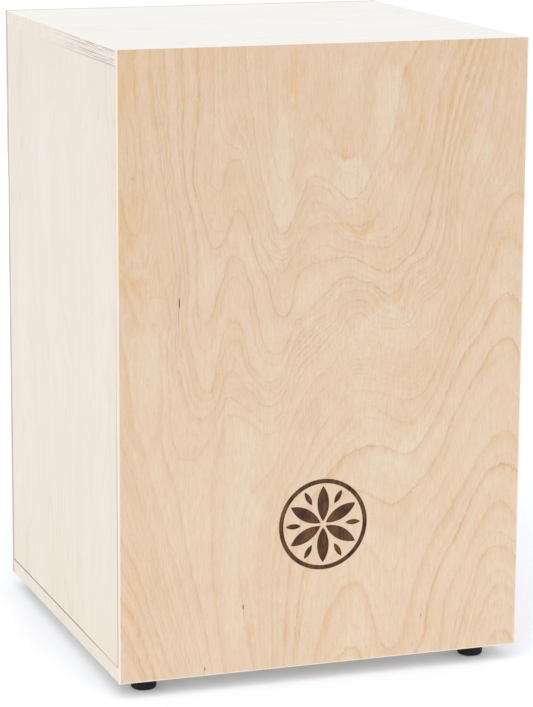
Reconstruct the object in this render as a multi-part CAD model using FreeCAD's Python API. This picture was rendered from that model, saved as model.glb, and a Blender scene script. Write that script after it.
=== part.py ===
import FreeCAD, Part
import math
import os

from FreeCAD import Rotation, Vector

# A box drum (cajon) of birch plywood, with a removable snare carrier inside.
#
# Row frame: +Z up, origin on the floor under the middle of the box. The playing surface faces -Y
# and the sound hole faces +Y. Lengths are in millimetres.

# ---- the box --------------------------------------------------------------------------------
BODY_WIDTH = 300.0
BODY_DEPTH = 298.0
BODY_HEIGHT = 442.0
FOOT_HEIGHT = 12.0
PLY = 1.2
PANEL = 9 * PLY
PLAYING_SURFACE = 3.0
BACK = 4.0
BATTEN = 18.0
BATTEN_BEVEL = 1.2
EDGE_EASE = 0.6
SEAM_BEVEL = 0.35

# ---- sound hole and engraved ornament -------------------------------------------------------
SOUND_HOLE_RADIUS = 55.0
SOUND_HOLE_HEIGHT = 300.0
SOUND_HOLE_EASE = 0.8
ORNAMENT_HEIGHT = 115.0
ORNAMENT_RADIUS = 33.0
ORNAMENT_RING = 3.2
ORNAMENT_MARGIN = 1.8
ORNAMENT_HUB = 2.2
ORNAMENT_DEPTH = 0.4
PETALS = 6
PETAL_BELLY = 0.17

# ---- snare carrier --------------------------------------------------------------------------
BEAM_HEIGHT = 305.0
BEAM_THICKNESS = 18.0
BEAM_WIDTH = 30.0
BEAM_END_GAP = 0.7
BEAM_ROUND = 1.5
CARRIER_GAP = 0.2
SNARE_OFFSET = 52.0
STRANDS = 20
STRAND_RADIUS = 1.2
STRAND_PITCH = 3.0
STRAND_TIP_PITCH = 3.9
STRAND_TIP_HEIGHT = 415.0
STRAND_TIP_CLEARANCE = 0.3
CLIP_WIDTH = 64.0
CLIP_PLATE = 0.8
CLIP_CORNER = 3.0
CLIP_FOOT = -9.0
CLIP_LIP = (5.0, 11.0)
FELT = (1.1, 3.0)
FELT_DROP = 0.4

# ---- hardware -------------------------------------------------------------------------------
THREAD_RADIUS = 3.0
THUMB_LENGTH = 32.0
THUMB_HEAD_RADIUS = 8.0
THUMB_HEAD_LENGTH = 9.0
KNURLS = 30
KNURL_RADIUS = 0.45
WASHER = 1.2
INSERT_RADIUS = 5.0
INSERT_LENGTH = 14.0
RUNNING_GAP = 0.05
LOOSE_GAP = 0.3
SCREW_FIT = 0.05
HOLE_EXTRA = 0.3
BACK_SCREWS_PER_SIDE = 5
BACK_SCREW = {"shank": 1.5, "length": 16.0, "head": 3.0, "head_height": 1.8}
FOOT_SCREW = {"shank": 2.0, "length": 16.5, "head": 3.6, "head_height": 2.6}
CLIP_SCREW = {"shank": 1.4, "length": 11.0, "head": 2.8, "head_height": 1.8}

# ---- rubber feet ----------------------------------------------------------------------------
FOOT_INSET = 25.0
FOOT_TOP_RADIUS = 9.8
FOOT_LOW_RADIUS = 9.1
FOOT_TREAD_RADIUS = 7.0
FOOT_TOP_BEVEL = 0.6
FOOT_RECESS_RADIUS = 4.2
FOOT_RECESS_DEPTH = 6.5
FOOT_WASHER_RADIUS = 4.0
FOOT_WASHER = 1.0

# ---- derived planes -------------------------------------------------------------------------
ORIGIN, X, Y, Z = Vector(0, 0, 0), Vector(1, 0, 0), Vector(0, 1, 0), Vector(0, 0, 1)
LEFT, RIGHT = -1, 1
HALF_WIDTH = BODY_WIDTH / 2
INNER_X = HALF_WIDTH - PANEL
BATTEN_X = INNER_X - BATTEN / 2
FRONT = -BODY_DEPTH / 2
REAR = BODY_DEPTH / 2
SHELL_FRONT = FRONT + PLAYING_SURFACE
SHELL_REAR = REAR - BACK
POST_BACK = SHELL_FRONT + BATTEN
BOTTOM = FOOT_HEIGHT
TOP = BOTTOM + BODY_HEIGHT
FLOOR = BOTTOM + PANEL
CEILING = TOP - PANEL
BEAM_FRONT = POST_BACK + CARRIER_GAP
BEAM_REAR = BEAM_FRONT + BEAM_THICKNESS
BEAM_TOP = BEAM_HEIGHT + BEAM_WIDTH / 2
CLIP_FACE = BEAM_FRONT - CLIP_PLATE
FOOT_SEAT = FOOT_RECESS_DEPTH - FOOT_WASHER


# ---- shape helpers --------------------------------------------------------------------------
def block(low, high):
    """A rectangular solid between two corners."""
    size = [b - a for a, b in zip(low, high)]
    return Part.makeBox(*size, Vector(*low))


def rod(radius, start, end):
    """A cylinder between two points."""
    axis = end - start
    return Part.makeCylinder(radius, axis.Length, start, axis)


def turned(outline):
    """A solid of revolution about Z, from the corners (radius, height) of its half section."""
    points = [Vector(r, 0, z) for r, z in outline]
    face = Part.Face(Part.makePolygon(points + points[:1]))
    return face.revolve(ORIGIN, Z, 360)


def ring(inner, outer, thickness):
    """A flat washer on the plane z = 0, rising to its thickness."""
    return turned([(inner, 0), (outer, 0), (outer, thickness), (inner, thickness)])


def aimed(shape, direction, position):
    """Turns a shape made about +Z so that +Z points along direction, then moves it."""
    moved = shape.copy()
    moved.Placement = FreeCAD.Placement(position, Rotation(Z, direction))
    return moved


def near(a, b):
    return abs(a - b) < 0.01


def edges_at(shape, x=None, side_x=None, y=None, z=None):
    """The edges whose middle lies at the given coordinates; side_x matches either sign of x."""
    found = []
    for edge in shape.Edges:
        middle = edge.BoundBox.Center
        wanted = [(x, middle.x), (side_x, abs(middle.x)), (y, middle.y), (z, middle.z)]
        if all(value is None or near(value, at) for value, at in wanted):
            found.append(edge)
    return found


def batten(x_side, low_y, high_y, low_z, high_z):
    """A square batten lying against one side panel."""
    inner, outer = sorted((x_side * (INNER_X - BATTEN), x_side * INNER_X))
    return block((inner, low_y, low_z), (outer, high_y, high_z))


# ---- screws ---------------------------------------------------------------------------------
def cross_recess(screw):
    """Two crossed driver slots, cut down from z = 0."""
    half_slot, reach = screw["head"] * 0.12, screw["head"] * 0.6
    depth = screw["head_height"] * 0.65
    slot = block((-reach, -half_slot, -depth), (reach, half_slot, 1))
    crossed = slot.copy()
    crossed.rotate(ORIGIN, Z, 90)
    return slot.fuse(crossed)


def countersunk_screw(screw):
    """A flat-headed screw whose head lies flush at z = 0; its point is at -length."""
    cone = screw["shank"] * 2
    body = turned(
        [
            (0, 0),
            (screw["head"], 0),
            (screw["shank"], -screw["head_height"]),
            (screw["shank"], cone - screw["length"]),
            (0, -screw["length"]),
        ]
    )
    return body.cut(cross_recess(screw))


def countersunk_hole(screw):
    """The hole for a countersunk screw, a hair wider than the screw and open above z = 0."""
    shank, head = screw["shank"] + SCREW_FIT, screw["head"] + SCREW_FIT
    end = -screw["length"] - HOLE_EXTRA
    seat = -screw["head_height"]
    return turned([(0, 1), (head, 1), (head, 0), (shank, seat), (shank, end), (0, end)])


def pan_screw(screw):
    """A domed screw: the head's underside is at z = 0 and its point at -length."""
    head, rise = screw["head"], screw["head_height"]
    cone = screw["shank"] * 2
    body = turned(
        [
            (0, rise),
            (head * 0.72, rise * 0.88),
            (head, rise * 0.45),
            (head, 0),
            (screw["shank"], 0),
            (screw["shank"], cone - screw["length"]),
            (0, -screw["length"]),
        ]
    )
    recess = cross_recess(screw)
    recess.translate(Z * rise)
    return body.cut(recess)


def pan_screw_hole(screw, seat, direction):
    """The hole for a pan head screw that is driven along direction from its seat."""
    end = seat + direction * (screw["length"] + HOLE_EXTRA)
    return rod(screw["shank"] + SCREW_FIT, seat, end)


# ---- places that repeat ---------------------------------------------------------------------
def back_screw_places():
    """Centres of the screw heads down both sides of the back, over the rear posts."""
    first, last = FLOOR + BATTEN, CEILING - BATTEN
    step = (last - first) / (BACK_SCREWS_PER_SIDE - 1)
    rows = [first + i * step for i in range(BACK_SCREWS_PER_SIDE)]
    return [Vector(side * BATTEN_X, REAR, z) for side in (LEFT, RIGHT) for z in rows]


def foot_places():
    """Foot axes on the floor: front left, front right, rear left, rear right."""
    x, y = HALF_WIDTH - FOOT_INSET, REAR - FOOT_INSET
    return [Vector(sx * x, sy * y, 0) for sy in (-1, 1) for sx in (LEFT, RIGHT)]


def clip_screw_places(side):
    """Seats of the two screws on the face of a snare clip."""
    spread = CLIP_WIDTH / 3
    z = BEAM_HEIGHT - 2
    return [Vector(side * SNARE_OFFSET + dx, CLIP_FACE, z) for dx in (-spread, spread)]


def thumb_place(side, y):
    """A point on the axis of one thumb screw."""
    return Vector(side * BATTEN_X, y, BEAM_HEIGHT)


# ---- plywood panels -------------------------------------------------------------------------
def petal(inner, outer):
    """A pointed petal in the XZ plane, between two radii along +Z."""
    low, high = Vector(0, 0, inner), Vector(0, 0, outer)
    belly = (outer - inner) * PETAL_BELLY
    half_way = (inner + outer) / 2
    left = Part.Arc(low, Vector(-belly, 0, half_way), high).toShape()
    right = Part.Arc(high, Vector(belly, 0, half_way), low).toShape()
    return Part.Face(Part.Wire([left, right]))


def disc(radius):
    """A round face in the XZ plane."""
    return Part.Face(Part.Wire(Part.makeCircle(radius, ORIGIN, Y)))


def ornament():
    """The cutter for the engraved rosette: a ring round petals, with short darts between them."""
    ring_inner = ORNAMENT_RADIUS - ORNAMENT_RING
    petal_tip = ring_inner - ORNAMENT_MARGIN
    faces = [disc(ORNAMENT_RADIUS).cut(disc(ring_inner))]
    step = 360.0 / PETALS
    for i in range(PETALS):
        long_petal = petal(ORNAMENT_HUB, petal_tip)
        long_petal.rotate(ORIGIN, Y, i * step)
        dart = petal(ring_inner * 0.56, petal_tip)
        dart.rotate(ORIGIN, Y, (i + 0.5) * step)
        faces += [long_petal, dart]
    cutter = Part.makeCompound([f.extrude(Y * (1 + ORNAMENT_DEPTH)) for f in faces])
    cutter.translate(Vector(0, FRONT - 1, ORNAMENT_HEIGHT))
    return cutter


def playing_surface():
    sheet = block((-HALF_WIDTH, FRONT, BOTTOM), (HALF_WIDTH, SHELL_FRONT, TOP))
    sheet = sheet.makeFillet(EDGE_EASE, edges_at(sheet, y=FRONT))
    return sheet.cut(ornament())


def top_panel():
    board = block((-HALF_WIDTH, SHELL_FRONT, CEILING), (HALF_WIDTH, SHELL_REAR, TOP))
    return board.makeFillet(EDGE_EASE, edges_at(board, side_x=HALF_WIDTH, z=TOP))


def bottom_panel():
    board = block((-HALF_WIDTH, SHELL_FRONT, BOTTOM), (HALF_WIDTH, SHELL_REAR, FLOOR))
    board = board.makeFillet(EDGE_EASE, edges_at(board, side_x=HALF_WIDTH, z=BOTTOM))
    board = board.makeChamfer(SEAM_BEVEL, edges_at(board, side_x=HALF_WIDTH, z=FLOOR))
    for place in foot_places():
        board = board.cut(pan_screw_hole(FOOT_SCREW, place + Z * FOOT_SEAT, Z))
    return board


def side_panel(side):
    """One side, standing between the bottom and the top panels."""
    inner, outer = sorted((side * INNER_X, side * HALF_WIDTH))
    board = block((inner, SHELL_FRONT, FLOOR), (outer, SHELL_REAR, CEILING))
    return board.makeChamfer(SEAM_BEVEL, edges_at(board, side_x=HALF_WIDTH, z=FLOOR))


def back_panel():
    sheet = block((-HALF_WIDTH, SHELL_REAR, BOTTOM), (HALF_WIDTH, REAR, TOP))
    sheet = sheet.makeFillet(EDGE_EASE, edges_at(sheet, y=REAR))
    centre = Vector(0, SHELL_REAR - 1, SOUND_HOLE_HEIGHT)
    sheet = sheet.cut(rod(SOUND_HOLE_RADIUS, centre, centre + Y * (BACK + 2)))
    rim = edges_at(sheet, x=0, y=REAR, z=SOUND_HOLE_HEIGHT)
    sheet = sheet.makeFillet(SOUND_HOLE_EASE, rim)
    return cut_back_screws(sheet, back_screw_places())


def cut_back_screws(shape, places):
    for place in places:
        shape = shape.cut(aimed(countersunk_hole(BACK_SCREW), Y, place))
    return shape


# ---- glued battens --------------------------------------------------------------------------
def front_post(side):
    """An upright batten behind the playing surface, bored for its threaded insert."""
    post = batten(side, SHELL_FRONT, POST_BACK, FLOOR, CEILING)
    corner = edges_at(post, side_x=INNER_X - BATTEN, y=POST_BACK)
    post = post.makeChamfer(BATTEN_BEVEL, corner)
    mouth = thumb_place(side, POST_BACK)
    return post.cut(rod(INSERT_RADIUS, mouth - Y * INSERT_LENGTH, mouth + Y))


def rear_post(side):
    """An upright batten in front of the back panel, with the back's screws in it."""
    free_y = SHELL_REAR - BATTEN
    post = batten(side, free_y, SHELL_REAR, FLOOR, CEILING)
    corner = edges_at(post, side_x=INNER_X - BATTEN, y=free_y)
    post = post.makeChamfer(BATTEN_BEVEL, corner)
    return cut_back_screws(post, [p for p in back_screw_places() if p.x * side > 0])


def cleat(side, low_z, free_z):
    """A batten from post to post, in the corner of a side and the top or the bottom."""
    strip = batten(side, POST_BACK, SHELL_REAR - BATTEN, low_z, low_z + BATTEN)
    return strip.makeChamfer(BATTEN_BEVEL, edges_at(strip, side_x=INNER_X - BATTEN, z=free_z))


# ---- rubber feet ----------------------------------------------------------------------------
def foot_section():
    """Half section of a foot: tapered wall, rounded tread, and a screw recess from below."""
    hole = FOOT_SCREW["shank"] + SCREW_FIT
    tread_round = FOOT_LOW_RADIUS - FOOT_TREAD_RADIUS
    arc_inset = tread_round * (1 - math.sqrt(0.5))
    outline = [
        (FOOT_TREAD_RADIUS, 0),
        (FOOT_RECESS_RADIUS, 0),
        (FOOT_RECESS_RADIUS, FOOT_RECESS_DEPTH),
        (hole, FOOT_RECESS_DEPTH),
        (hole, FOOT_HEIGHT),
        (FOOT_TOP_RADIUS - FOOT_TOP_BEVEL, FOOT_HEIGHT),
        (FOOT_TOP_RADIUS, FOOT_HEIGHT - FOOT_TOP_BEVEL),
        (FOOT_LOW_RADIUS, tread_round),
    ]
    corners = [Vector(r, 0, z) for r, z in outline]
    edges = [Part.makeLine(a, b) for a, b in zip(corners, corners[1:])]
    on_arc = Vector(FOOT_LOW_RADIUS - arc_inset, 0, arc_inset)
    edges.append(Part.Arc(corners[-1], on_arc, corners[0]).toShape())
    return Part.Face(Part.Wire(edges))


def rubber_foot(place):
    foot = foot_section().revolve(ORIGIN, Z, 360)
    foot.translate(place)
    return foot


def foot_washer(place):
    washer = ring(FOOT_SCREW["shank"] + SCREW_FIT, FOOT_WASHER_RADIUS, FOOT_WASHER)
    return aimed(washer, Z, place + Z * FOOT_SEAT)


def foot_screw(place):
    return aimed(pan_screw(FOOT_SCREW), -Z, place + Z * FOOT_SEAT)


# ---- snare carrier --------------------------------------------------------------------------
def snare_beam():
    half = INNER_X - BEAM_END_GAP
    beam = block((-half, BEAM_FRONT, BEAM_TOP - BEAM_WIDTH), (half, BEAM_REAR, BEAM_TOP))
    beam = beam.makeFillet(BEAM_ROUND, edges_at(beam, x=0, y=BEAM_REAR))
    for side in (LEFT, RIGHT):
        mouth = thumb_place(side, BEAM_FRONT)
        beam = beam.cut(rod(THREAD_RADIUS + LOOSE_GAP, mouth, mouth + Y * BEAM_THICKNESS))
        for place in clip_screw_places(side):
            beam = beam.cut(pan_screw_hole(CLIP_SCREW, place, Y))
    return beam


def strand_ends():
    """The (x, y, z) ends of each strand, measured across from the middle of its clip."""
    base_y = CLIP_FACE - STRAND_RADIUS
    base_z = BEAM_HEIGHT + CLIP_LIP[0] + 1
    tip_y = SHELL_FRONT + STRAND_TIP_CLEARANCE + STRAND_RADIUS
    ends = []
    for i in range(STRANDS):
        place = i - (STRANDS - 1) / 2
        base = Vector(place * STRAND_PITCH, base_y, base_z)
        tip = Vector(place * STRAND_TIP_PITCH, tip_y, STRAND_TIP_HEIGHT)
        ends.append((base, tip))
    return ends


def snare_strands(side):
    """Straight strands that fan up from the clip until they lie on the playing surface."""
    shift = X * (side * SNARE_OFFSET)
    return [rod(STRAND_RADIUS, base + shift, tip + shift) for base, tip in strand_ends()]


def snare_clip(side):
    """A pressed steel clip: a plate with two screw holes and a lip that holds the strands."""
    low_x, high_x = [side * SNARE_OFFSET + dx for dx in (-CLIP_WIDTH / 2, CLIP_WIDTH / 2)]
    lip_front = CLIP_FACE - 2 * STRAND_RADIUS - CLIP_PLATE
    foot_z = BEAM_HEIGHT + CLIP_FOOT
    lip_low, lip_high = [BEAM_HEIGHT + z for z in CLIP_LIP]
    plate = block((low_x, CLIP_FACE, foot_z), (high_x, BEAM_FRONT, lip_high))
    plate_middle = (CLIP_FACE + BEAM_FRONT) / 2
    corners = edges_at(plate, y=plate_middle, z=foot_z)
    corners = [e for e in corners if near(e.Length, CLIP_PLATE)]
    plate = plate.makeFillet(CLIP_CORNER, corners)
    lip = block((low_x, lip_front, lip_low), (high_x, CLIP_FACE, lip_high))
    long_edges = [e for e in edges_at(lip, y=lip_front) if near(e.Length, CLIP_WIDTH)]
    lip = lip.makeFillet(CLIP_PLATE * 0.8, long_edges)
    clip = plate.fuse(lip).removeSplitter()
    for place in clip_screw_places(side):
        clip = clip.cut(rod(CLIP_SCREW["shank"] + LOOSE_GAP, place, place + Y * CLIP_PLATE))
    return clip.cut(Part.makeCompound(snare_strands(side)))


def clip_screws():
    places = clip_screw_places(LEFT) + clip_screw_places(RIGHT)
    return [aimed(pan_screw(CLIP_SCREW), -Y, place) for place in places]


def damping_felt():
    """A felt strip along the beam, behind the strands, that stops them rattling on the wood."""
    thickness, width = FELT
    half = INNER_X - BATTEN - 2 * BEAM_ROUND
    high = BEAM_TOP - FELT_DROP
    return block((-half, BEAM_FRONT - thickness, high - width), (half, BEAM_FRONT, high))


def threaded_insert(side):
    """A flush brass insert in a front post, its mouth towards the beam."""
    bore = THREAD_RADIUS + RUNNING_GAP
    lead_in = 0.5
    sleeve = turned(
        [
            (bore, -INSERT_LENGTH),
            (INSERT_RADIUS, -INSERT_LENGTH),
            (INSERT_RADIUS, 0),
            (bore + lead_in, 0),
            (bore, -lead_in),
        ]
    )
    return aimed(sleeve, Y, thumb_place(side, POST_BACK))


def thumb_washer(side):
    washer = ring(THREAD_RADIUS + LOOSE_GAP, THUMB_HEAD_RADIUS, WASHER)
    return aimed(washer, Y, thumb_place(side, BEAM_REAR))


def thumb_screw(side):
    """A knurled screw: its head bears on the washer and its thread runs in the insert."""
    neck, collar = THUMB_HEAD_RADIUS * 0.72, THUMB_HEAD_LENGTH * 0.25
    rim, dish = THUMB_HEAD_RADIUS, THUMB_HEAD_RADIUS * 0.45
    bevel = 0.8
    screw = turned(
        [
            (0, -THUMB_LENGTH),
            (THREAD_RADIUS - bevel, -THUMB_LENGTH),
            (THREAD_RADIUS, bevel - THUMB_LENGTH),
            (THREAD_RADIUS, 0),
            (neck, 0),
            (neck, collar),
            (rim - bevel, collar),
            (rim, collar + bevel),
            (rim, THUMB_HEAD_LENGTH - bevel),
            (rim - bevel, THUMB_HEAD_LENGTH),
            (dish, THUMB_HEAD_LENGTH),
            (dish - bevel, THUMB_HEAD_LENGTH - bevel),
            (0, THUMB_HEAD_LENGTH - bevel),
        ]
    )
    screw = screw.cut(Part.makeCompound(knurl_grooves(collar)))
    return aimed(screw, Y, thumb_place(side, BEAM_REAR + WASHER))


def knurl_grooves(start):
    """Straight grooves round the rim of a thumb screw's head, from a height upwards."""
    centre = Vector(THUMB_HEAD_RADIUS + KNURL_RADIUS / 4, 0, start)
    groove = rod(KNURL_RADIUS, centre, centre + Z * THUMB_HEAD_LENGTH)
    grooves = []
    for i in range(KNURLS):
        turned_groove = groove.copy()
        turned_groove.rotate(ORIGIN, Z, i * 360.0 / KNURLS)
        grooves.append(turned_groove)
    return grooves


# ---- the nodes ------------------------------------------------------------------------------
def shell_nodes():
    """The glued box, its back and its feet."""
    nodes = {
        "playing_surface": [playing_surface()],
        "top_panel": [top_panel()],
        "bottom_panel": [bottom_panel()],
        "back_panel": [back_panel()],
    }
    for word, side in (("left", LEFT), ("right", RIGHT)):
        nodes[f"{word}_side_panel"] = [side_panel(side)]
        nodes[f"front_{word}_post"] = [front_post(side)]
        nodes[f"rear_{word}_post"] = [rear_post(side)]
        nodes[f"top_{word}_cleat"] = [cleat(side, CEILING - BATTEN, CEILING - BATTEN)]
        nodes[f"bottom_{word}_cleat"] = [cleat(side, FLOOR, FLOOR + BATTEN)]
        nodes[f"threaded_insert_{word}"] = [threaded_insert(side)]
    corners = ("front_left", "front_right", "rear_left", "rear_right")
    for word, place in zip(corners, foot_places()):
        nodes[f"rubber_foot_{word}"] = [rubber_foot(place)]
    nodes["foot_washers"] = [foot_washer(p) for p in foot_places()]
    nodes["foot_screws"] = [foot_screw(p) for p in foot_places()]
    nodes["back_panel_screws"] = [
        aimed(countersunk_screw(BACK_SCREW), Y, p) for p in back_screw_places()
    ]
    return nodes


def carrier_nodes():
    """The snare carrier and the two screws that pull it against the front posts."""
    nodes = {
        "snare_beam": [snare_beam()],
        "snare_clip_screws": clip_screws(),
        "snare_damping_felt": [damping_felt()],
        "thumb_screw_washers": [thumb_washer(LEFT), thumb_washer(RIGHT)],
    }
    for word, side in (("left", LEFT), ("right", RIGHT)):
        nodes[f"snare_clip_{word}"] = [snare_clip(side)]
        nodes[f"snare_strands_{word}"] = snare_strands(side)
        nodes[f"thumb_screw_{word}"] = [thumb_screw(side)]
    return nodes


def main():
    os.makedirs("parts", exist_ok=True)
    nodes = {**shell_nodes(), **carrier_nodes()}
    for name, pieces in nodes.items():
        solids = [solid for piece in pieces for solid in piece.Solids]
        shape = solids[0] if len(solids) == 1 else Part.makeCompound(solids)
        if not shape.isValid() or len(solids) != len(pieces):
            raise ValueError(f"{name} is broken")
        shape.exportStep(f"parts/{name}.step")
        print(f"{name:26s} {len(solids):3d} solids  {shape.Volume / 1000:9.2f} cm3")


main()
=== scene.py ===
import math

import bpy
from mathutils import Euler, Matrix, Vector


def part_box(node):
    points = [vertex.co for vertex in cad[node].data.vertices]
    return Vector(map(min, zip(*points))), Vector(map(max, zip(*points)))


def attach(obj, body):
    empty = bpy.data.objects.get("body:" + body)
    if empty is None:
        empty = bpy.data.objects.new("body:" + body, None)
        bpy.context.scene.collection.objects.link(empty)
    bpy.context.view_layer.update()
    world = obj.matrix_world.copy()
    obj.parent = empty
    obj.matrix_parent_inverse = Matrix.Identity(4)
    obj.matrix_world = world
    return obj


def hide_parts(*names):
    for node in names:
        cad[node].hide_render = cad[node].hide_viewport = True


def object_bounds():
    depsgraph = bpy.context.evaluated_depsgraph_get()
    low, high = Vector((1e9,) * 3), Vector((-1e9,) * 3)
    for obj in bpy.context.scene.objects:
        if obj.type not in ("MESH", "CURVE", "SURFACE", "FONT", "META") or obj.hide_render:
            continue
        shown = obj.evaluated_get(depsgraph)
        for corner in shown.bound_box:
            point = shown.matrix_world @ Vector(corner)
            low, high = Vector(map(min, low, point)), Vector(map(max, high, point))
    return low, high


# A small box drum. Every CAD node keeps its shape and gets a procedural material, except the plain
# snare strands, which spiral wires replace. A white studio stands round it.
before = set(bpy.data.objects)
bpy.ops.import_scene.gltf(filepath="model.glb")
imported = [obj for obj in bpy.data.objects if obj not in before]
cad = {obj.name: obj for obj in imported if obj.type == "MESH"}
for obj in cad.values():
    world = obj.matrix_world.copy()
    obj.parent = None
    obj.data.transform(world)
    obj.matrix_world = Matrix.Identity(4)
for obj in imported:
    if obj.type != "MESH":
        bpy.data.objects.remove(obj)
cad_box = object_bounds()

MM = 0.001
FLAT = 50.0  # mm, the size of noise through a thin board, where the grain hardly changes

# ---- colours, as display (sRGB) values from 0 to 255 ------------------------------------------
VENEER = (223, 198, 169)
VENEER_PALE = (225, 206, 180)
VENEER_WARM = (219, 184, 142)
VENEER_PINK = (223, 193, 168)
LATEWOOD = (163, 140, 112)
LATEWOOD_DULL = (160, 126, 88)
KNOT = (84, 54, 10)
BURNT = (48, 24, 14)
BURNT_LIGHT = (112, 74, 46)
PALE_PLY = (243, 232, 217)
PALE_PLY_SHADE = (235, 223, 202)
# The top panel's ply face: the sides' plywood made whiter, a painted sheen of the light from above.
SHEEN_PAINTED_TOP_PLY = (252, 250, 246)
SHEEN_PAINTED_TOP_PLY_DARKER = (249, 245, 239)
BOARD_EDGE = (250, 239, 224)
BACK_EDGE = (190, 164, 142)
PLY_END_GRAIN = (236, 221, 203)
PLY_GLUE = (132, 102, 92)
SEAM = (76, 40, 24)
SPRUCE = (226, 198, 152)
SPRUCE_LATEWOOD = (190, 142, 92)
RUBBER = (20, 19, 19)
ZINC = (196, 198, 200)
STEEL = (186, 188, 190)
NICKEL = (206, 204, 198)
BRASS = (206, 170, 98)
FELT = (116, 118, 120)
FLOOR = (240, 242, 247)

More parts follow.
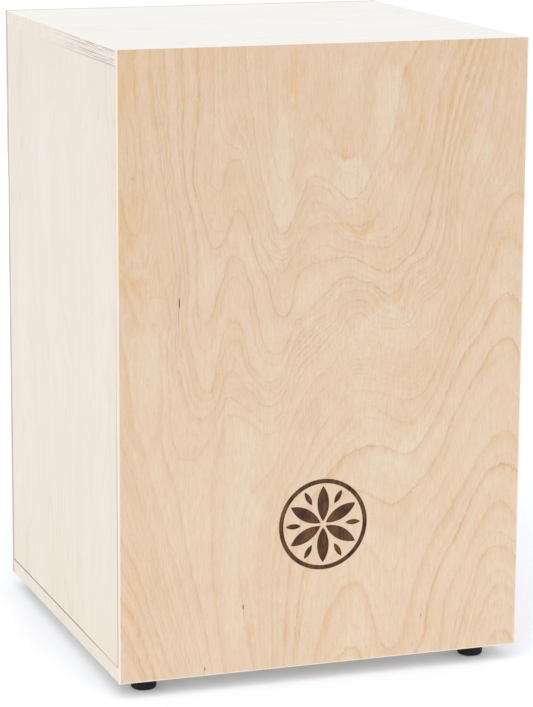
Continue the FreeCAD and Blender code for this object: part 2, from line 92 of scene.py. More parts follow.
# ---- the playing surface's figure --------------------------------------------------------------
# Lines that run down the veneer along the crests, troughs and flanks of its flames, from the left
# edge to the right. Each key is (mm below the top edge, mm from the left edge, growth ring).
FIGURE = [
    [(0, 0, -5), (93, 0, -5), (143, 0, -4.5), (158, 0, -4), (180, 0, -3), (267, 0, -2),
     (293, 0, -1), (337, 0, 0), (353, 0, 1), (377, 0, 2), (397, 0, 3), (417, 0, 4), (442, 0, 5)],
    [(0, 7, -5.3), (33, 7, -5.3), (67, 11, -5.4), (100, 12, -5.3), (127, 13, -5), (160, 20, -4.5),
     (188, 18, -4), (213, 13, -3.4), (260, 11, -3), (300, 13, -2), (333, 9, -1), (367, 11, 0.5),
     (400, 13, 2), (442, 20, 3)],
    [(0, 16, -4.8), (33, 18, -4.7), (67, 23, -4.7), (100, 27, -4.6), (127, 27, -4.5),
     (160, 33, -4.5), (187, 31, -4), (213, 23, -3.6), (247, 20, -3.4), (273, 20, -3.2),
     (300, 23, -3), (333, 23, -2), (367, 22, -1), (400, 28, -0.5), (442, 43, -0.5)],
    [(0, 33, -6), (33, 35, -6), (67, 37, -6), (100, 42, -6), (133, 49, -6), (167, 51, -6),
     (187, 48, -6), (210, 52, -6), (233, 50, -5.1), (247, 37, -4.3), (267, 33, -4.2), (293, 37, -4),
     (337, 37, -3.2), (367, 44, -3), (400, 53, -3), (442, 62, -3)],
    [(0, 68, -9), (33, 69, -9), (67, 68, -9), (90, 71, -9.1), (106, 77, -9), (137, 73, -8),
     (167, 62, -7.4), (189, 62, -7), (213, 63, -6.6), (239, 65, -6), (252, 63, -5), (273, 53, -4.5),
     (293, 50, -4.2), (333, 55, -4.3), (367, 59, -4.2), (400, 65, -4.1), (442, 71, -4.1)],
    [(0, 82, -10.4), (40, 83, -10.4), (67, 87, -9.8), (75, 86, -9), (113, 86, -8), (142, 82, -7),
     (191, 84, -6), (225, 81, -5), (250, 79, -4), (283, 82, -3.7), (333, 76, -3.6), (367, 75, -3.6),
     (400, 80, -3.6), (442, 87, -3.5)],
    [(0, 91, -11), (33, 93, -11), (67, 99, -11), (100, 104, -11), (120, 108, -10.6),
     (143, 107, -8.8), (167, 105, -7.6), (187, 101, -7), (217, 100, -6.6), (233, 97, -5.4),
     (253, 95, -4.2), (283, 97, -3.5), (317, 95, -3), (333, 89, -3), (367, 87, -3), (400, 91, -3),
     (442, 99, -3)],
    [(0, 120, -12.4), (50, 122, -12.5), (99, 120, -12), (130, 118, -11), (143, 117, -10),
     (150, 118, -9), (189, 120, -8), (217, 114, -7), (233, 109, -6), (250, 109, -5), (268, 106, -4),
     (293, 110, -3.2), (317, 107, -2.4), (333, 103, -2), (367, 101, -2), (400, 103, -2),
     (442, 104, -2)],
    [(0, 132, -12.4), (50, 133, -12.3), (77, 131, -12), (100, 134, -11.1), (120, 133, -10.2),
     (140, 132, -8.7), (167, 132, -7.6), (187, 132, -7.3), (213, 130, -5), (233, 132, -4),
     (250, 132, -3), (267, 132, -2), (293, 128, -1), (317, 120, 0), (333, 117, 0), (367, 112, 0),
     (400, 112, 0), (442, 113, 0)],
    [(0, 137, -12.3), (53, 137, -12.2), (92, 138, -11), (110, 139, -10.1), (127, 140, -8.8),
     (149, 147, -8.1), (167, 149, -7.3), (187, 150, -6.4), (200, 157, -4.3), (213, 152, -4),
     (233, 147, -3), (250, 152, -1), (267, 148, 0), (288, 147, 1), (303, 153, 2), (333, 133, 2),
     (367, 125, 2), (400, 122, 2), (442, 121, 2)],
    [(0, 143, -12.3), (53, 142, -12), (92, 143, -11), (110, 145, -10), (117, 146, -9),
     (132, 148, -8.5), (149, 160, -8), (165, 167, -7), (169, 172, -6), (173, 175, -5),
     (187, 175, -4), (209, 175, -3), (222, 177, -2), (233, 180, -1), (242, 175, 0), (255, 183, 1),
     (283, 196, 2), (300, 180, 2.5), (315, 168, 3), (355, 177, 4), (383, 176, 5), (433, 172, 6),
     (442, 172, 6.2)],
    [(0, 173, -12.8), (33, 167, -12.8), (83, 167, -12), (108, 167, -11), (126, 168, -10),
     (137, 180, -9.5), (145, 196, -9), (157, 198, -8), (182, 198, -7), (187, 199, -6),
     (193, 199, -5), (199, 200, -4), (220, 215, -3), (228, 212, -2), (241, 215, -1), (252, 213, 0),
     (268, 212, 1), (292, 213, 2), (327, 204, 3), (378, 200, 4), (437, 202, 5), (442, 202, 5.1)],
    [(0, 197, -12), (17, 187, -12), (33, 184, -12), (67, 187, -11.6), (100, 191, -10.2),
     (117, 200, -9.7), (133, 207, -9.1), (150, 213, -8.1), (167, 217, -5.6), (184, 223, -4),
     (200, 230, -3.6), (220, 224, -2.4), (233, 229, -0.8), (250, 232, 1), (267, 235, 2),
     (283, 235, 2.6), (300, 235, 3), (317, 220, 3), (347, 215, 4), (367, 217, 4.4), (400, 217, 5),
     (423, 213, 5), (442, 220, 6)],
    [(0, 248, -9), (33, 234, -9), (67, 230, -9), (80, 227, -9), (100, 230, -8), (127, 233, -7.2),
     (150, 235, -6), (184, 237, -3.2), (213, 237, -1), (233, 238, 1), (250, 243, 2), (267, 248, 3),
     (300, 251, 4), (333, 248, 5), (367, 245, 6), (400, 244, 7), (442, 240, 7)],
    [(0, 274, -4.5), (33, 267, -4.3), (67, 256, -4.3), (100, 249, -4), (127, 247, -4),
     (150, 247, -4), (184, 248, -0.7), (213, 248, 1), (233, 250, 2), (253, 257, 3), (267, 263, 3.8),
     (300, 267, 4.8), (333, 262, 6), (367, 261, 7), (400, 264, 8), (442, 258, 8.5)],
    [(0, 288, -2), (33, 285, -2), (67, 282, -2), (100, 267, -2), (127, 262, -1.5), (150, 269, 0),
     (184, 266, 1), (213, 265, 2), (233, 268, 3), (253, 273, 3.8), (277, 272, 4.5), (300, 271, 5.1),
     (320, 267, 6), (347, 272, 7), (373, 272, 8), (413, 273, 9), (442, 270, 9.6)],
    [(0, 298, -0.6), (33, 297, -0.8), (67, 293, -1), (93, 289, -1), (110, 295, 0), (138, 288, 1),
     (182, 287, 2), (213, 289, 3), (248, 285, 4), (287, 290, 5), (302, 288, 6), (334, 283, 7),
     (366, 285, 8), (396, 289, 9), (430, 289, 10), (442, 289, 10.3)],
    [(0, 300, -0.6), (93, 300, -0.4), (107, 300, -0.1), (147, 300, 0.9), (187, 300, 1.9),
     (220, 300, 2.8), (260, 300, 4), (293, 300, 5), (307, 300, 5.9), (347, 300, 7), (373, 300, 7.9),
     (403, 300, 8.8), (442, 300, 10.1)],
]
FIGURE_ROWS = 25  # heights at which the figure is worked out, and blended in between
RING_LOWEST, RING_HIGHEST = -13.0, 11.0
CLOSEST_KEYS = 1.4  # mm between two points of a profile
SLOPE_STEP = 0.8  # mm, over which the rings' slope is measured
FINE_LINES = 3  # fine lines to each growth ring
FINE_SEED = 90

# Oval places in the veneer, where it is paler, warmer or has duller lines, and its small dark
# marks: (mm below the top edge, mm from the left edge, half height, half width).
PALE_PATCHES = [
    (350, 90, 110, 12),
    (215, 25, 45, 14),
    (90, 118, 60, 11),
    (45, 195, 65, 13),
    (97, 168, 10, 26),
    (200, 195, 12, 34),
    (300, 205, 13, 30),
    (425, 174, 28, 12),
    (70, 264, 30, 9),
]
WARM_PATCHES = [
    (10, 5, 32, 9),
    (110, 6, 42, 11),
    (155, 20, 8, 26),
    (22, 127, 34, 8),
    (77, 161, 9, 15),
    (50, 208, 38, 12),
    (126, 172, 8, 22),
    (45, 52, 22, 8),
    (180, 200, 12, 10),
    (390, 95, 55, 8),
]
DULL_PATCHES = [(165, 150, 150, 118), (60, 110, 90, 60), (110, 44, 150, 46)]
MARKS = [(174, 43.9, 4.6, 0.5), (394, 90.6, 2.2, 0.45), (437.5, 62.5, 0.5, 0.35)]
FAINT_MARKS = [
    (183, 43.4, 10, 0.25),
    (162, 44.4, 14, 0.25),
    (398, 91.2, 5, 0.3),
    (413, 225.6, 2.0, 0.5),
    (436.5, 62.3, 2.2, 0.8),
]


# ---- arithmetic with shader nodes --------------------------------------------------------------
def linear(colour):
    """The scene-linear RGB of a display colour."""
    parts = [c / 255 for c in colour]
    return tuple(p / 12.92 if p <= 0.04045 else ((p + 0.055) / 1.055) ** 2.4 for p in parts)


class Value:
    """A number that one shader node passes to the next, so that a finish reads as arithmetic."""

    def __init__(self, nodes, socket):
        self.nodes, self.socket = nodes, socket

    def math(self, operation, *others, clamp=False):
        return self.nodes.math(operation, self, *others, clamp=clamp)

    def __add__(self, other):
        return self.math("ADD", other)

    def __sub__(self, other):
        return self.math("SUBTRACT", other)

    def __rsub__(self, other):
        return self.nodes.math("SUBTRACT", other, self)

    def __rtruediv__(self, other):
        return self.nodes.math("DIVIDE", other, self)

    def __mul__(self, other):
        return self.math("MULTIPLY", other)

    def __truediv__(self, other):
        return self.math("DIVIDE", other)

    def __abs__(self):
        return self.math("ABSOLUTE")

    def rounded(self):
        return self.math("ROUND")

    def floored(self):
        return self.math("FLOOR")

    def clamped(self):
        return self.math("ADD", 0, clamp=True)

    def at_least(self, other):
        return self.math("MAXIMUM", other)

    def at_most(self, other):
        return self.math("MINIMUM", other)

    def span(self, start, end, low=0.0, high=1.0, smooth=True):
        """Goes from low to high as this value goes from start to end."""
        kind = "SMOOTHSTEP" if smooth else "LINEAR"
        node = self.nodes.add("ShaderNodeMapRange", interpolation_type=kind)
        for socket, value in zip(node.inputs, (self, start, end, low, high)):
            self.nodes.feed(socket, value)
        return Value(self.nodes, node.outputs[0])


class Nodes:
    """Makes and links the nodes of one material or node group."""

    def __init__(self, tree):
        self.tree = tree

    def add(self, kind, **settings):
        node = self.tree.nodes.new(kind)
        for name, value in settings.items():
            setattr(node, name, value)
        return node

    def feed(self, socket, value):
        if isinstance(value, Value):
            value = value.socket
        if isinstance(value, bpy.types.NodeSocket):
            self.tree.links.new(value, socket)
        else:
            socket.default_value = value

    def math(self, operation, *values, clamp=False):
        node = self.add("ShaderNodeMath", operation=operation, use_clamp=clamp)
        for socket, value in zip(node.inputs, values):
            self.feed(socket, value)
        return Value(self, node.outputs[0])

    def split(self, vector):
        node = self.add("ShaderNodeSeparateXYZ")
        self.feed(node.inputs[0], vector)
        return [Value(self, socket) for socket in node.outputs]

    def join(self, x, y, z):
        node = self.add("ShaderNodeCombineXYZ")
        for socket, value in zip(node.inputs, (x, y, z)):
            self.feed(socket, value)
        return node.outputs[0]

    def vector(self, operation, a, b):
        node = self.add("ShaderNodeVectorMath", operation=operation)
        self.feed(node.inputs[0], a)
        self.feed(node.inputs[1], b)
        return node.outputs[0]

    def noise(self, place, size, detail=2.0, roughness=0.5):
        """Smooth noise, from about -1 to 1, with features of that size in mm along x, y and z."""
        node = self.add("ShaderNodeTexNoise")
        self.feed(node.inputs["Vector"], self.vector("DIVIDE", place, size))
        node.inputs["Scale"].default_value = 1.0
        node.inputs["Detail"].default_value = detail
        node.inputs["Roughness"].default_value = roughness
        return Value(self, node.outputs[0]).span(0.25, 0.75, -1.0, 1.0, smooth=False)

    def random(self, number):
        """A random number from 0 to 1 for each whole number."""
        node = self.add("ShaderNodeTexWhiteNoise", noise_dimensions="1D")
        self.feed(node.inputs["W"], number)
        return Value(self, node.outputs["Value"])

    def curve(self, value, points):
        """A smooth curve through the points, without overshoot."""
        node = self.add("ShaderNodeFloatCurve")
        mapping = node.mapping
        mapping.use_clip = False
        line = mapping.curves[0].points
        line[0].location, line[1].location = points[0], points[-1]
        for point in points[1:-1]:
            line.new(*point)
        for point in line:
            point.handle_type = "AUTO_CLAMPED"
        mapping.update()
        self.feed(node.inputs["Value"], value)
        return Value(self, node.outputs[0])

    def lerp(self, amount, a, b):
        """Number a turning to number b."""
        node = self.add("ShaderNodeMix", data_type="FLOAT")
        for socket, value in zip((node.inputs[0], node.inputs[2], node.inputs[3]), (amount, a, b)):
            self.feed(socket, value)
        return Value(self, node.outputs[0])

    def tint(self, amount, a, b):
        """Colour a turning to colour b. Each is a display colour or the output of a node."""
        node = self.add("ShaderNodeMix", data_type="RGBA")
        self.feed(node.inputs[0], amount)
        for socket, colour in ((node.inputs[6], a), (node.inputs[7], b)):
            self.feed(socket, (*linear(colour), 1.0) if isinstance(colour, tuple) else colour)
        return node.outputs[2]

    def brighten(self, colour, amount):
        """A display colour, or the output of a node, times 1 + amount."""
        node = self.add("ShaderNodeVectorMath", operation="SCALE")
        self.feed(node.inputs[0], linear(colour) if isinstance(colour, tuple) else colour)
        self.feed(node.inputs["Scale"], amount + 1)
        return node.outputs[0]


class Finish(Nodes):
    """A material on the principled surface, drawn in millimetres of the row frame."""

    def __init__(self, name, **surface):
        self.material = bpy.data.materials.new(name)
        self.material.use_nodes = True
        super().__init__(self.material.node_tree)
        self.surface = self.tree.nodes["Principled BSDF"]
        for socket, value in surface.items():
            self.surface.inputs[socket.replace("_", " ")].default_value = value
        here = self.add("ShaderNodeTexCoord")
        self.place = self.vector("DIVIDE", here.outputs["Object"], (MM, MM, MM))
        self.x, self.y, self.z = self.split(self.place)
        self.facing = [abs(part) for part in self.split(here.outputs["Normal"])]

    def colour(self, colour):
        self.feed(self.surface.inputs["Base Color"], colour)

    def roughness(self, value):
        self.feed(self.surface.inputs["Roughness"], value)

    def bump(self, height, depth):
        """Relief of that depth in mm for a height from 0 to 1."""
        node = self.add("ShaderNodeBump")
        node.inputs["Distance"].default_value = depth * MM
        self.feed(node.inputs["Height"], height)
        self.feed(self.surface.inputs["Normal"], node.outputs[0])


def paint(finish, *names):
    """Gives CAD nodes a finish."""
    for name in names:
        cad[name].data.materials.clear()
        cad[name].data.materials.append(finish.material)


def box_mm(name):
    """A CAD node's lowest and highest corners, in mm."""
    low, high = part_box(name)
    return [c / MM for c in low], [c / MM for c in high]


# ---- the playing surface -----------------------------------------------------------------------
def between(keys, down):
    """Where a line of the figure is at a height, and its ring."""
    for (d0, x0, r0), (d1, x1, r1) in zip(keys, keys[1:]):
        if down <= d1:
            part = (down - d0) / (d1 - d0)
            return x0 + (x1 - x0) * part, r0 + (r1 - r0) * part
    return keys[-1][1:]


def ring_profile(down, width):
    """Points (across the board, ring) from 0 to 1 at one height of the figure."""
    points = []
    for x, ring in sorted(between(keys, down) for keys in FIGURE):
        if not points or x - points[-1][0] > CLOSEST_KEYS:
            points.append((x, ring))
    span = RING_HIGHEST - RING_LOWEST
    return [(x / width, (ring - RING_LOWEST) / span) for x, ring in points]


def growth_rings(low, high):
    """A node group that gives the growth ring number at a place on the board, in mm."""
    group = bpy.data.node_groups.new("growth_rings", "ShaderNodeTree")
    group.interface.new_socket("Place", in_out="INPUT", socket_type="NodeSocketVector")
    group.interface.new_socket("Ring", in_out="OUTPUT", socket_type="NodeSocketFloat")
    nodes = Nodes(group)
    x, _, z = nodes.split(nodes.add("NodeGroupInput").outputs[0])
    width, height = high[0] - low[0], high[2] - low[2]
    across = (x - low[0]) / width
    row = (high[2] - z) * ((FIGURE_ROWS - 1) / height)
    ring = None
    for i in range(FIGURE_ROWS):
        profile = nodes.curve(across, ring_profile(height * i / (FIGURE_ROWS - 1), width))
        ring = nodes.lerp((row - (i - 1)).clamped(), ring, profile) if ring else profile
    ring = ring * (RING_HIGHEST - RING_LOWEST) + RING_LOWEST
    nodes.feed(nodes.add("NodeGroupOutput").inputs[0], ring)
    return group


class FlamedBirch(Finish):
    """Rotary-cut birch veneer: flame figure, fibres, mottling and a burnt engraved ornament."""

    def __init__(self, name, panel):
        super().__init__(name, Specular_IOR_Level=0.35)
        self.low, self.high = box_mm(panel)
        self.restless = self.grain(60, 70).span(-0.6, 0.8, 0.4, 1.0)
        self.drift = self.grain(16, 22)
        self.streaks = self.grain(2.2, 50) * self.grain(70, 110).span(-0.5, 0.7, 0.5, 1.3)
        self.fibres = self.grain(1.3, 10, 4.0, 0.72)
        self.flecks = self.grain(0.6, 5, 1.0).span(0.7, 1.0) * 0.06
        self.mottle = self.grain(26, 48, 4.0, 0.6)
        self.blush = self.grain(11, 17, 3.0)
        self.dull = self.spots(self.x, self.z, DULL_PATCHES)
        self.ring, self.slope = self.rings()
        self.crisp, self.soft, self.own = self.ring_lines(1, 0)
        self.fine_crisp, self.fine_soft, self.fine_own = self.ring_lines(FINE_LINES, FINE_SEED)
        self.line = self.latewood()

    def grain(self, across, along, detail=2.0, roughness=0.5):
        """Noise on the board, with features of that size in mm across and along its fibres."""
        return self.noise(self.place, (across, FLAT, along), detail, roughness)

    def spots(self, x, z, places, soft=0.0):
        """How much a place lies in the oval spots."""
        total = None
        for down, across, half_height, half_width in places:
            dx = (x - (self.low[0] + across)) / half_width
            dz = (z - (self.high[2] - down)) / half_height
            spot = (dx * dx + dz * dz).span(soft, 1.0, 1.0, 0.0)
            total = total.at_least(spot) if total else spot
        return total

    def rings(self):
        """The growth ring's number, made jagged by the fibres, and its change in a mm."""
        group = growth_rings(self.low, self.high)

        def ring_at(place):
            node = self.add("ShaderNodeGroup", node_tree=group)
            self.feed(node.inputs[0], place)
            return Value(self, node.outputs[0])

        jag = self.grain(2.4, 10, 4.0, 0.65) * self.restless
        sway = self.grain(10, 5, 3.0)
        shift = self.join(sway * 0.8, 0.0, jag * 2.6 + self.drift * 1.6)  # mm
        place = self.vector("ADD", self.place, shift)
        ring = ring_at(place)
        slope_x = (ring_at(self.vector("ADD", place, (SLOPE_STEP, 0, 0))) - ring) / SLOPE_STEP
        slope_z = (ring_at(self.vector("ADD", place, (0, 0, SLOPE_STEP))) - ring) / SLOPE_STEP
        return ring, (slope_x * slope_x + slope_z * slope_z).math("SQRT").at_least(0.012)

    def ring_lines(self, density, seed):
        """So many lines to each ring: a crisp line, a soft shade along it, and its own number."""
        ring, slope = self.ring * density, self.slope * density
        away = (ring - ring.rounded()) / slope  # mm
        own = self.random(ring.rounded() + seed)
        sparse = (1 / slope).span(1.0, 3.2)
        crisp = away.span(-0.7, 0.0) * away.span(0.0, 1.4, 1.0, 0.0) * sparse
        soft = away.span(-3.0, 0.4) * away.span(0.4, 8.0, 1.0, 0.0)
        return crisp, soft, own

    def latewood(self):
        """The thin dark lines, which fade and break along their length."""
        broken = self.grain(7, 11).span(-0.7, 0.5, 0.35, 1.0)
        along = self.grain(40, 50).span(-0.7, 0.7, 0.6, 1.0) * broken
        line = self.crisp * (self.own * self.own * 0.25 + 0.135)
        line = line.at_least(self.fine_crisp * self.fine_own * 0.2)
        return line * along * (self.dull * 0.2 + 1)

    def warmth(self):
        """How much warmer or, below 0, paler than the plain veneer a place is."""
        low, high = self.low, self.high
        band = self.noise(self.join(self.ring, 0.0, 0.0), (0.6, 1, 1))
        stain = self.grain(7, 26, 4.0, 0.6).span(-0.6, 0.6)
        glow = self.soft * (self.own * 0.5 + 0.2) * (stain + 0.5)
        glow = glow + self.fine_soft * self.fine_own * 0.12
        warmth = glow * (1 - self.dull * 0.75) + self.mottle * 0.4 + band * 0.4 - 0.09
        warmth = warmth + self.z.span(low[2], high[2], -0.24, 0.12)
        warmth = warmth + self.x.span(low[0], low[0] + 60, 0.25, 0.0)
        warmth = warmth - self.fibres * 0.06 + self.streaks * 0.12
        x = self.x + self.mottle * 9 + self.blush * 5
        z = self.z + self.mottle * 24 + self.drift * 12
        streaked = self.soft * 0.3 + self.streaks * 0.4 + stain * 0.5 + 0.1
        warmth = warmth + self.spots(x, z, WARM_PATCHES) * streaked
        return warmth - self.spots(x, z, PALE_PATCHES) * (band * 0.4 + 0.6)

    def veneer(self):
        """The colour of the bare wood, with its lines and marks."""
        warmth = self.warmth()
        wood = self.tint(self.blush.span(-0.7, 0.9) * 0.6, VENEER, VENEER_PINK)
        wood = self.tint(warmth.clamped(), wood, VENEER_WARM)
        wood = self.tint((warmth * -1.0).clamped(), wood, VENEER_PALE)
        wood = self.tint(self.line, wood, self.tint(self.dull, LATEWOOD, LATEWOOD_DULL))
        shimmer = self.grain(22, 5) * self.restless
        speckle = self.grain(0.6, 1.5, 2.0, 0.6)
        tone = self.fibres * 0.088 + self.streaks * 0.036 + shimmer * 0.014 + speckle * 0.05
        # The veneer is a little brighter towards the bottom and a little darker towards the top.
        tone = tone - self.flecks + self.z.span(self.low[2], self.high[2], 0.03, -0.008)
        wood = self.brighten(wood, tone)
        faint = self.spots(self.x, self.z, FAINT_MARKS, 0.2) * 0.7
        wood = self.tint(faint, wood, LATEWOOD_DULL)
        return self.tint(self.spots(self.x, self.z, MARKS, 0.3), wood, KNOT)

    def burn(self):
        """1 on the engraved ornament's floor and walls, 0 elsewhere."""
        low, high = self.low, self.high
        engraved = self.y.span(low[1] + 0.03, low[1] + 0.12)
        near_front = self.y.span(high[1] - 0.6, high[1] - 0.5, 1.0, 0.0)
        outer_edge = self.facing[0].at_least(self.facing[2]) * rim_mask(self, low, high)
        return near_front * engraved * (1 - outer_edge)

    def burnt_wood(self):
        """The brown of the ornament, which keeps the grain."""
        grain = self.fibres * 0.45 + self.streaks * 0.3 + self.blush * 0.8 - self.line * 1.2
        return self.tint(grain.span(-0.9, 0.9), BURNT, BURNT_LIGHT)

    def with_edges(self, wood):
        """The wood, with pale sanded corners and thin plies round the board's outer edges."""
        low, high = self.low, self.high
        on_edge = 1 - self.facing[1].span(0.4, 0.7)
        sanded = (high[0] - abs(self.x)).at_most(self.z - low[2]).span(0.5, 1.3, 0.8, 0.0)
        wood = self.tint(sanded, wood, BOARD_EDGE)
        edge = edge_plies(self, self.y - low[1], 1.0, 0.2, BOARD_EDGE)
        return self.tint(on_edge * rim_mask(self, low, high), wood, edge)


def flamed_birch(panel):
    """The playing surface's finish."""
    f = FlamedBirch("flamed_birch", panel)
    burn = f.burn()
    f.colour(f.with_edges(f.tint(burn, f.veneer(), f.burnt_wood())))
    f.roughness(f.lerp(burn, f.fibres * 0.04 + 0.5, 0.75))
    f.bump(f.fibres * 0.35 + f.flecks * -4 + 0.5, 0.03)
    return f


def rim_mask(f, low, high):
    """1 on the board's outer edges, 0 further in."""
    from_side = (high[0] - abs(f.x)).at_most((f.z - low[2]).at_most(high[2] - f.z))
    return from_side.span(0.8, 1.0, 1.0, 0.0)


# ---- plywood, softwood -------------------------------------------------------------------------
GLUE_SEED = 7
GLUE_LINE_OFFSET = (37.0, 17.0, 23.0)  # mm in the noise from one glue line to the next
SPRUCE_RING = 2.3  # mm
PITH = (260.0, 330.0)  # mm from the box's middle to the heart of a batten's tree


def edge_plies(f, depth, ply, strength, pale=PALE_PLY):
    """The colour of a plywood edge: long grain and end grain by turns, with glue lines between."""
    odd = (depth / ply).floored().math("MODULO", 2.0)
    joint = (depth / ply).rounded()
    dark = f.random(joint + GLUE_SEED).span(0.25, 0.75, 0.15, 1.0)
    offset = f.join(*[joint * distance for distance in GLUE_LINE_OFFSET])
    apart = f.vector("ADD", f.place, offset)
    broken = f.noise(apart, (26, 26, 26)).span(-0.4, 0.3, 0.15, 1.0)
    glue = abs(depth / ply - joint).span(0.08, 0.36, 1.0, 0.0) * dark * broken
    pores = f.noise(f.place, (0.5, 0.5, 0.5))
    grain = f.brighten(f.tint(odd * strength, pale, PLY_END_GRAIN), pores * 0.03)
    return f.tint(glue * strength, grain, PLY_GLUE)


def birch_ply(
    name, panel, thickness_axis, grain_axis, plies=9, figure=0.1, edge_fade=None,
    face=(PALE_PLY, PALE_PLY_SHADE), edge_wood=PALE_PLY
):
    """Pale bleached birch plywood, with faint grain on its faces and plies on its edges.

    figure is how strong the grain's lines are. edge_fade(f) is how far the plies show on an edge,
    where the rest of it is filled and sanded.
    """
    f = Finish(name, Specular_IOR_Level=0.5)
    low, high = box_mm(panel)
    places = (f.x, f.y, f.z)

    def along(across_size, length_size):
        return tuple(length_size if axis == grain_axis else across_size for axis in range(3))

    fibres = f.noise(f.place, along(1.1, 34), 3.0, 0.6)
    bands = f.noise(f.place, along(9, 170), 3.0)
    cloud = f.noise(f.place, along(60, 120))
    wood = f.tint((bands * 0.4 + cloud * 0.6).span(-1.7, 1.7), *face)
    flames = f.noise(f.place, along(48, 300), 1.0) * 5 + bands * 0.2 + fibres * 0.06
    away = flames - flames.rounded()
    line = away.span(-0.05, 0.0) * away.span(0.0, 0.3, 1.0, 0.0)
    wood = f.tint(line * (cloud * 0.4 + 0.6) * figure, wood, PLY_GLUE)
    wood = f.brighten(wood, fibres * (0.005 + figure * 0.05))

    depth = places[thickness_axis] - low[thickness_axis]
    ply = (high[thickness_axis] - low[thickness_axis]) / plies
    strength = f.noise(f.place, (40, 40, 40)).span(-0.6, 0.4, 0.5, 1.0)
    if edge_fade:
        shown = edge_fade(f)
        filled = f.tint(bands.span(-1.2, 1.2), PALE_PLY, PALE_PLY_SHADE)
        edge = f.tint(shown, filled, edge_plies(f, depth, ply, strength * shown, edge_wood))
    else:
        edge = edge_plies(f, depth, ply, strength, edge_wood)
    on_edge = f.facing[thickness_axis].span(0.35, 0.6, 1.0, 0.0)
    wood = f.tint(on_edge, wood, edge)
    f.colour(wood)
    f.roughness(fibres * 0.03 + 0.42)
    f.bump(fibres * 0.4 + 0.5, 0.02)
    return f, wood, low, high


def towards_front(f):
    """Plies that show most at the front and are nearly filled at the rear."""
    return f.y.span(-120.0, 70.0, 1.0, 0.15)


def mostly_filled(f):
    """Plies that show faintly, in places."""
    return f.noise(f.place, (90, 90, 90)).span(-0.5, 1.0, 0.0, 0.25)


def with_seams(f, wood, low, high):
    """Dark joint lines round a side panel, each with its stronger and fainter stretches."""
    joints = [
        (f.z - low[2], f.y.span(-140.0, -40.0, 0.35, 1.0)),
        (high[2] - f.z, f.y.span(-130.0, 60.0, 0.3, 0.0)),
        (f.y - low[1], f.z.span(60.0, 340.0, 1.0, 0.25)),
        (high[1] - f.y, f.z.span(low[2], high[2], 0.6, 0.4)),
    ]
    for distance, strength in joints:
        line = distance.span(0.7, 1.3, 1.0, 0.0) * strength * f.facing[0].span(0.3, 0.6)
        wood = f.tint(line, wood, SEAM)
    f.colour(wood)


def softwood(name, length_axis):
    """Planed spruce with straight growth rings along the batten."""
    f = Finish(name, Roughness=0.6, Specular_IOR_Level=0.3)
    across = [part for axis, part in enumerate((f.x, f.y, f.z)) if axis != length_axis]
    sizes = tuple(160 if axis == length_axis else 14 for axis in range(3))
    bend = f.noise(f.place, sizes) * 1.3
    a, b = [part + distance for part, distance in zip(across, PITH)]
    radius = (a * a + b * b).math("SQRT") + bend
    ring = radius / SPRUCE_RING
    part = ring - ring.floored()
    late = part.span(0.35, 0.93) * part.span(0.93, 1.0, 1.0, 0.0)
    fine = tuple(18 if axis == length_axis else 0.7 for axis in range(3))
    fibres = f.noise(f.place, fine, 3.0, 0.6)
    wood = f.tint(late * (f.random(ring.floored()) * 0.4 + 0.35), SPRUCE, SPRUCE_LATEWOOD)
    f.colour(f.brighten(wood, fibres * 0.05))
    f.bump(fibres * 0.4 + 0.5, 0.04)
    return f


# ---- rubber, metal, felt, floor ----------------------------------------------------------------
def speckled(name, colour, spread, size, depth, roughness, **surface):
    """One material with fine unevenness in its colour, its gloss and its relief."""
    f = Finish(name, **surface)
    fine = f.noise(f.place, (size, size, size), 3.0, 0.6)
    broad = f.noise(f.place, (size * 12, size * 12, size * 12))
    f.colour(f.brighten(colour, fine * spread + broad * spread))
    f.roughness(fine * 0.06 + broad * 0.05 + roughness)
    f.bump(fine * 0.4 + 0.5, depth)
    return f


metal = {"Metallic": 1.0}
rubber = speckled("black_rubber", RUBBER, 0.15, 0.35, 0.03, 0.62, Specular_IOR_Level=0.35)
zinc = speckled("zinc_screw", ZINC, 0.06, 0.5, 0.01, 0.3, **metal)
steel = speckled("steel_wire", STEEL, 0.06, 0.8, 0.01, 0.26, **metal)
nickel = speckled("nickel_knob", NICKEL, 0.04, 0.6, 0.008, 0.2, **metal)
brass = speckled("brass", BRASS, 0.06, 0.5, 0.01, 0.3, **metal)
felt = speckled("grey_felt", FELT, 0.25, 0.3, 0.25, 0.92, Specular_IOR_Level=0.1, Sheen_Weight=0.4)

X_AXIS, Y_AXIS, Z_AXIS = range(3)
paint(flamed_birch("playing_surface"), "playing_surface")
for side in ("left", "right"):
    finish, wood, low, high = birch_ply(f"{side}_side_ply", f"{side}_side_panel", X_AXIS, Z_AXIS)
    with_seams(finish, wood, low, high)
    paint(finish, f"{side}_side_panel")

# The top's face colours are whiter than the sides': painted sheen.
sheen_painted_top_look = {"edge_fade": towards_front, "face": (SHEEN_PAINTED_TOP_PLY, SHEEN_PAINTED_TOP_PLY_DARKER)}
back_look = {"plies": 3, "figure": 0.16, "edge_wood": BACK_EDGE}
top_ply, *_ = birch_ply("top_ply", "top_panel", Z_AXIS, X_AXIS, **sheen_painted_top_look)
bottom_ply, *_ = birch_ply("bottom_ply", "bottom_panel", Z_AXIS, X_AXIS, edge_fade=mostly_filled)
back_ply, *_ = birch_ply("back_ply", "back_panel", Y_AXIS, Z_AXIS, **back_look)
paint(top_ply, "top_panel")
paint(bottom_ply, "bottom_panel")
paint(back_ply, "back_panel")
upright = softwood("spruce_upright", Z_AXIS)
lengthwise = softwood("spruce_lengthwise", Y_AXIS)
crossways = softwood("spruce_crossways", X_AXIS)
paint(upright, "front_left_post", "front_right_post", "rear_left_post", "rear_right_post")
paint(lengthwise, "top_left_cleat", "top_right_cleat", "bottom_left_cleat", "bottom_right_cleat")
paint(crossways, "snare_beam")
for end in ("front", "rear"):
    paint(rubber, f"rubber_foot_{end}_left", f"rubber_foot_{end}_right")
paint(zinc, "back_panel_screws", "foot_washers", "foot_screws", "snare_clip_screws")
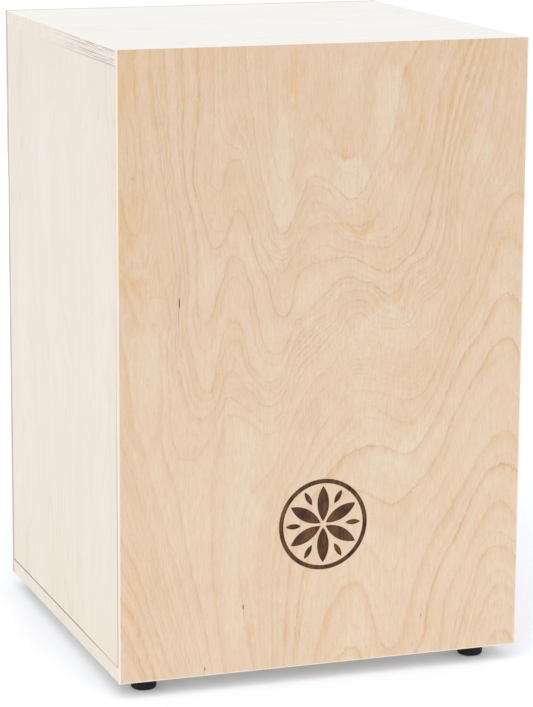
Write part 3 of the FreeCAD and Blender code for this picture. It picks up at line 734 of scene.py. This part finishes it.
paint(steel, "snare_clip_left", "snare_clip_right", "snare_strands_left", "snare_strands_right")
paint(nickel, "thumb_screw_left", "thumb_screw_right", "thumb_screw_washers")
paint(brass, "threaded_insert_left", "threaded_insert_right")
paint(felt, "snare_damping_felt")

# ---- spiral snare wires ------------------------------------------------------------------------
STRANDS = 20
STRAND_OUTER_RADIUS = 1.2 * MM
WIRE_RADIUS = 0.24 * MM
COIL_PITCH = 1.9 * MM
POINTS_PER_TURN = 8
BASE_SPREAD = 57.0 * MM  # between the middles of the outer strands, in the clip


def spiral(start, end):
    """Points of a coiled wire between two ends."""
    axis = end - start
    along = axis.normalized()
    side = along.orthogonal().normalized()
    other = along.cross(side)
    count = int(axis.length / COIL_PITCH * POINTS_PER_TURN)
    radius = STRAND_OUTER_RADIUS - WIRE_RADIUS
    points = []
    for i in range(count + 1):
        angle = 2 * math.pi * i / POINTS_PER_TURN
        offset = side * math.cos(angle) + other * math.sin(angle)
        points.append(start + axis * (i / count) + offset * radius)
    return points


def snare_spirals(side):
    """Twenty spiral wires in the place of one side's plain strands."""
    node = f"snare_strands_{side}"
    low, high = [Vector(corner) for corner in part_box(node)]
    middle = (low.x + high.x) / 2
    curve = bpy.data.curves.new(f"snare_spirals_{side}", "CURVE")
    curve.dimensions = "3D"
    curve.bevel_depth = WIRE_RADIUS
    curve.bevel_resolution = 1
    curve.use_fill_caps = True
    tip_spread = high.x - low.x - 2 * STRAND_OUTER_RADIUS
    for i in range(STRANDS):
        part = i / (STRANDS - 1) - 0.5
        base = Vector((middle + part * BASE_SPREAD, high.y - STRAND_OUTER_RADIUS, low.z + WIRE_RADIUS))
        tip = Vector((middle + part * tip_spread, low.y + STRAND_OUTER_RADIUS, high.z - WIRE_RADIUS))
        points = spiral(base, tip)
        spline = curve.splines.new("POLY")
        spline.points.add(len(points) - 1)
        for point, place in zip(spline.points, points):
            point.co = (*place, 1.0)
    curve.materials.append(steel.material)
    piece = bpy.data.objects.new(f"snare_spirals_{side}", curve)
    bpy.context.scene.collection.objects.link(piece)
    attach(piece, "snare_carrier")
    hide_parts(node)


for side in ("left", "right"):
    snare_spirals(side)


# ---- floor, light, camera ----------------------------------------------------------------------
FLOOR_REACH = 15.0  # m from the middle to each edge
FLOOR_GLOW = {"Emission_Color": (0.8, 0.88, 1.0, 1.0), "Emission_Strength": 0.14}
ROOM_STRENGTH = 0.72
KEY_FROM, KEY_POWER, KEY_ANGLE = (-0.75, -1.5, 2.5), 1.2, 60  # m from the middle, W/m2, degrees
REAR_PLACE, REAR_POWER, REAR_SIZE = (0.8, 2.4, 0.2), 12, 0.45  # m, W, m
CAMERA_PLACE, CAMERA_LENS, CAMERA_REACH = (-0.696, -2.018, 0.661), 149.0, 60.0  # m, mm, m
CAMERA_TURN, CAMERA_DOWN, CAMERA_ROLL = -19.26, 11.98, 0.3  # degrees


def floor():
    """A white floor, with a little cool light of its own that keeps the shadows soft and grey."""
    mesh = bpy.data.meshes.new("studio_floor")
    reach = FLOOR_REACH
    corners = [(-reach, -reach, 0), (reach, -reach, 0), (reach, reach, 0), (-reach, reach, 0)]
    mesh.from_pydata(corners, [], [(0, 1, 2, 3)])
    plane = bpy.data.objects.new("studio_floor", mesh)
    bpy.context.scene.collection.objects.link(plane)
    f = Finish("studio_floor", Roughness=0.9, Specular_IOR_Level=0.1, **FLOOR_GLOW)
    f.colour(f.brighten(FLOOR, f.noise(f.place, (900, 900, 900)) * 0.004))
    mesh.materials.append(f.material)


def lamp(name, kind, place, target, power):
    """A lamp that points at a target."""
    light = bpy.data.lights.new(name, kind)
    light.energy = power
    holder = bpy.data.objects.new(name, light)
    holder.location = place
    holder.rotation_euler = (Vector(target) - Vector(place)).to_track_quat("-Z", "Y").to_euler()
    bpy.context.scene.collection.objects.link(holder)
    return light


def white_room(strength):
    """Even white light from all round."""
    world = bpy.data.worlds.new("white_room")
    world.use_nodes = True
    world.node_tree.nodes["Background"].inputs["Color"].default_value = (1.0, 1.0, 1.0, 1.0)
    world.node_tree.nodes["Background"].inputs["Strength"].default_value = strength
    bpy.context.scene.world = world


def camera():
    """The photograph's viewpoint: a long lens, a little above the box and to its left."""
    data = bpy.data.cameras.new("photo_camera")
    data.lens = CAMERA_LENS
    data.clip_end = CAMERA_REACH
    eye = bpy.data.objects.new("photo_camera", data)
    eye.location = CAMERA_PLACE
    angles = (CAMERA_TURN, 90 - CAMERA_DOWN, CAMERA_ROLL)
    turn, tilt, roll = [math.radians(angle) for angle in angles]
    aim = Euler((0, 0, turn)).to_matrix() @ Euler((tilt, 0, 0)).to_matrix()
    eye.rotation_euler = (aim @ Euler((0, 0, roll)).to_matrix()).to_euler()
    bpy.context.scene.collection.objects.link(eye)
    bpy.context.scene.camera = eye


low, high = [Vector(corner) for corner in cad_box]
middle = (low + high) / 2
floor()
white_room(ROOM_STRENGTH)
key = lamp("key_light", "SUN", middle + Vector(KEY_FROM), middle, KEY_POWER)
key.angle = math.radians(KEY_ANGLE)
rear = lamp("rear_softbox", "AREA", REAR_PLACE, middle, REAR_POWER)
rear.shape = "DISK"
rear.size = REAR_SIZE
camera()
bpy.context.scene.view_settings.view_transform = "Standard"
